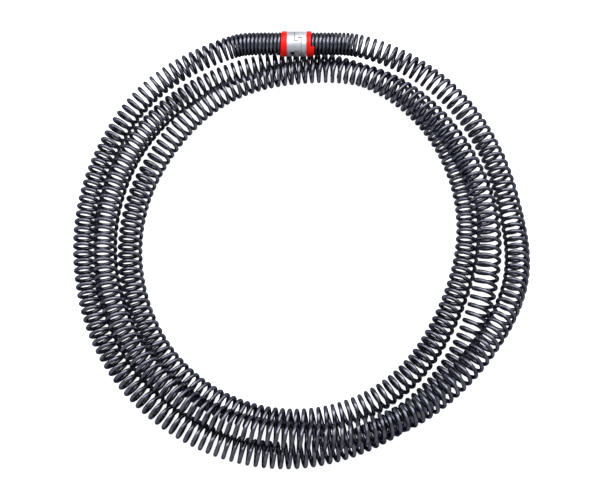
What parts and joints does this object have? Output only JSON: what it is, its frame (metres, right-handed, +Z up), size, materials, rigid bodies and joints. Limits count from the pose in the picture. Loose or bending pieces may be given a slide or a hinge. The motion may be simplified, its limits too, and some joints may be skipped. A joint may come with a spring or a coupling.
{
  "type": "drain auger",
  "caption": "Sectional drain auger: open-wound steel spring cable with close-wound ends and a T-slot coupling, coupled end to end and laid in three loops",
  "frame": {"origin": "On the floor, under the middle of the coiled cable's outline", "axes": "+Z up from the surface the coil lies on; +Y towards the coupling; +X along the coupling from its male half to its female half"},
  "size_m": [0.5841, 0.5968, 0.069],
  "materials": {
    "spring_steel": "oil-blackened spring wire, satin",
    "bright_steel": "bright turned and plated",
    "red_marking": "gloss red paint",
    "pin_steel": "ground and hardened"
  },
  "bodies": {
    "cable_and_male_end": {"male_coupling": "bright_steel", "male_wire_seat": "red_marking", "male_end_winding": "spring_steel", "plunger_stop_pin": "pin_steel", "plunger_spring": "pin_steel", "cable_loop_1": "spring_steel", "cable_loop_2": "spring_steel", "cable_loop_3": "spring_steel"},
    "female_end": {"female_coupling": "bright_steel", "female_wire_seat": "red_marking", "female_end_winding": "spring_steel"},
    "plunger": {"locking_plunger": "pin_steel"}
  },
  "joints": [
    {"name": "coupling_slide", "type": "slide", "parent": "cable_and_male_end", "child": "female_end", "axis": [0, -0.7431, 0.6691], "range_m": [0, 0.036]},
    {"name": "plunger_slide", "type": "slide", "parent": "cable_and_male_end", "child": "plunger", "axis": [1, 0, 0], "range_m": [0, 0.0025], "stiffness_N_per_m": 1200, "springref_m": 0.0075, "deforming": ["plunger_spring"]}
  ]
}
